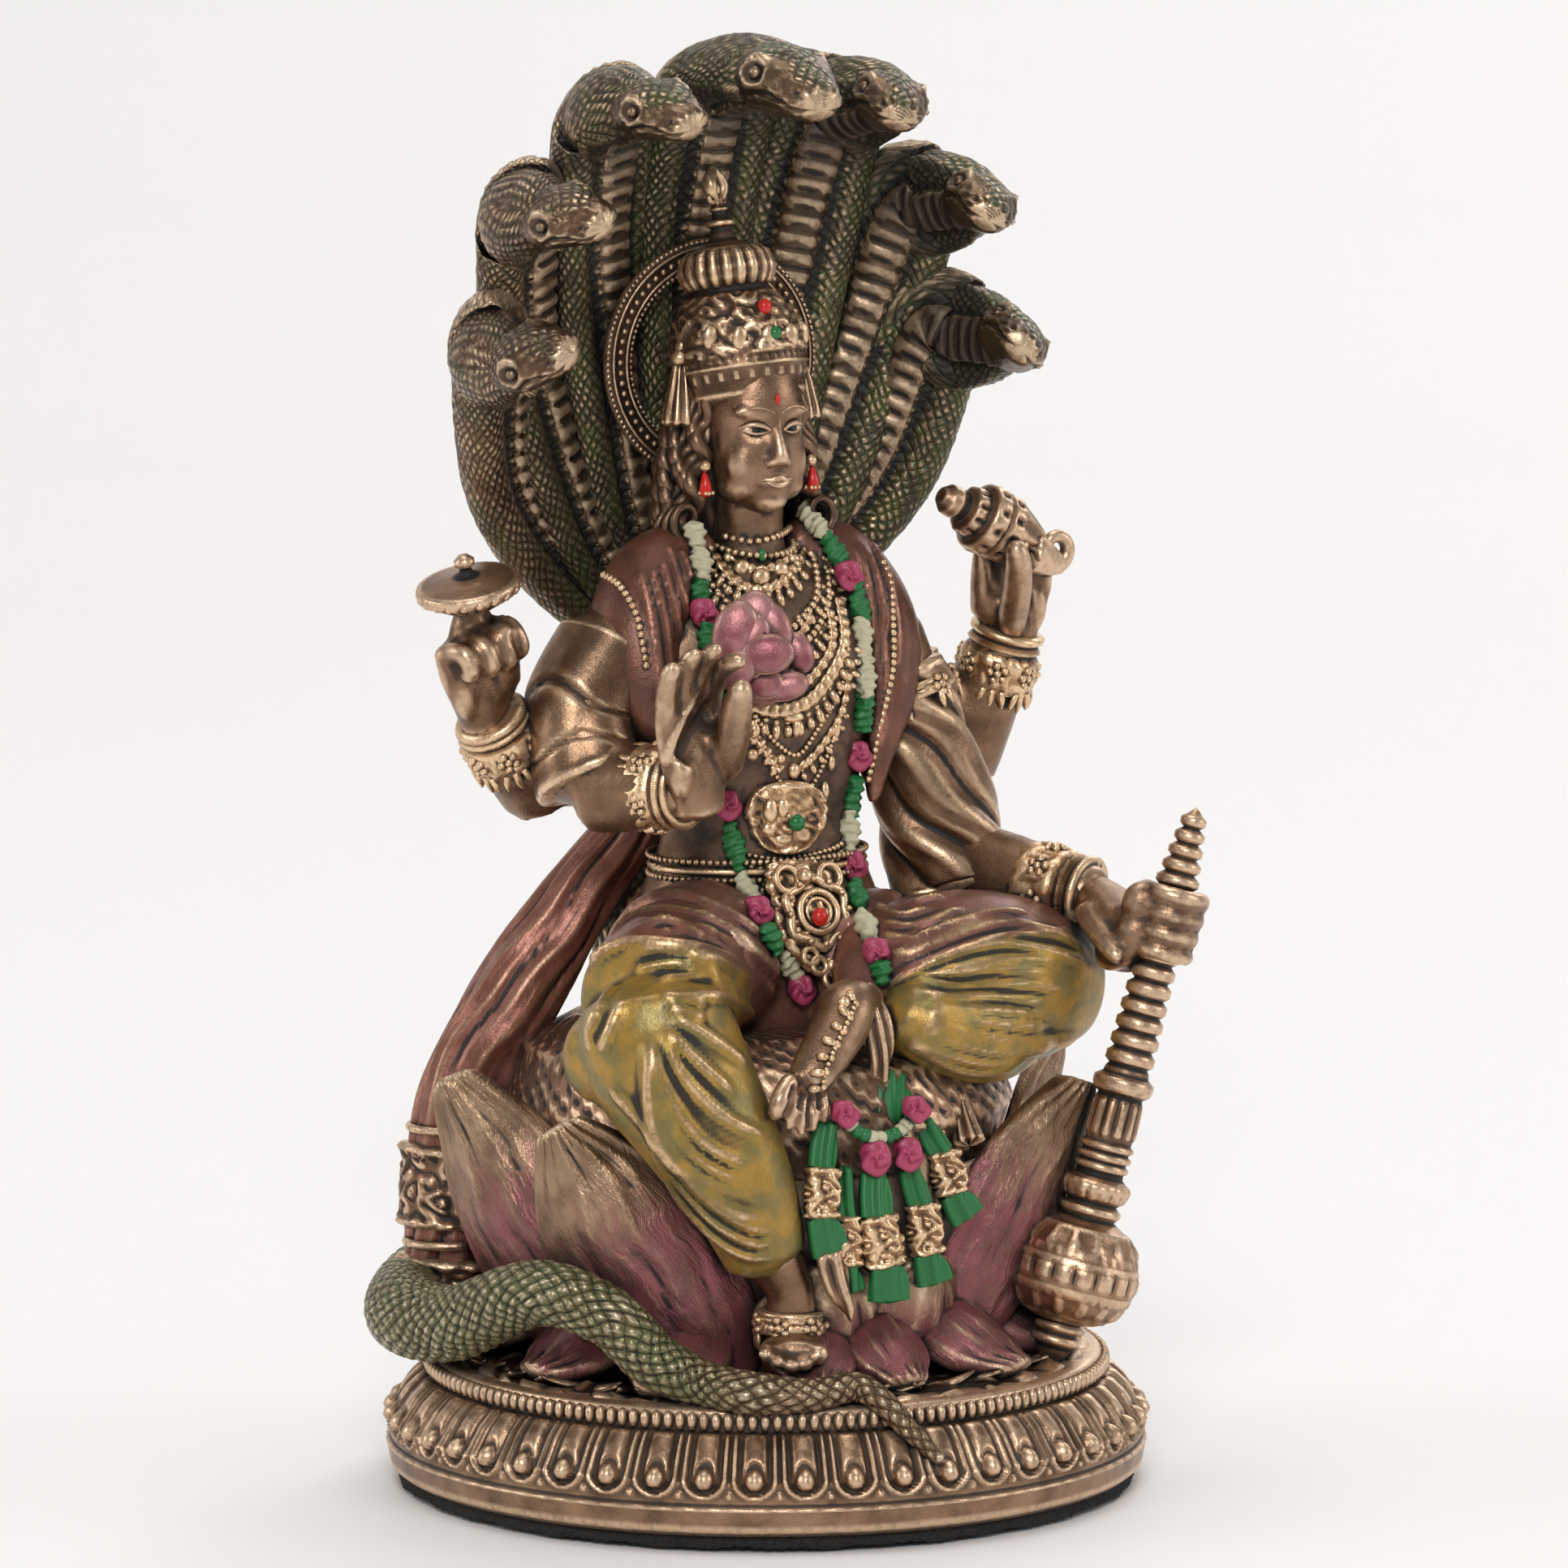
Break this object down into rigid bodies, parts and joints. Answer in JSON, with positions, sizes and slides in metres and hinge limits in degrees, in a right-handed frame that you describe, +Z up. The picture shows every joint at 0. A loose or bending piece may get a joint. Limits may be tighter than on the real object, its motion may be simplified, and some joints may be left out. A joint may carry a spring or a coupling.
{
  "type": "deity figurine on a lotus plinth",
  "caption": "Palm-high cold-cast bronze figure of a four-armed crowned deity seated on a many-headed cobra inside a lotus, on a round petalled plinth with felt underneath.",
  "frame": {"origin": "centre of the round felt underside", "axes": "+Z up through the plinth, -Y the way the seated figure faces, +X towards the figure's left hand"},
  "size_m": [0.047, 0.047, 0.0873],
  "materials": {
    "bronze": "dark patinated cold-cast bronze, rubbed bright on the high places, with thin painted colours",
    "felt": "short black felt"
  },
  "bodies": {
    "root": {"bronze_casting": "bronze", "felt_pad": "felt"}
  },
  "joints": []
}
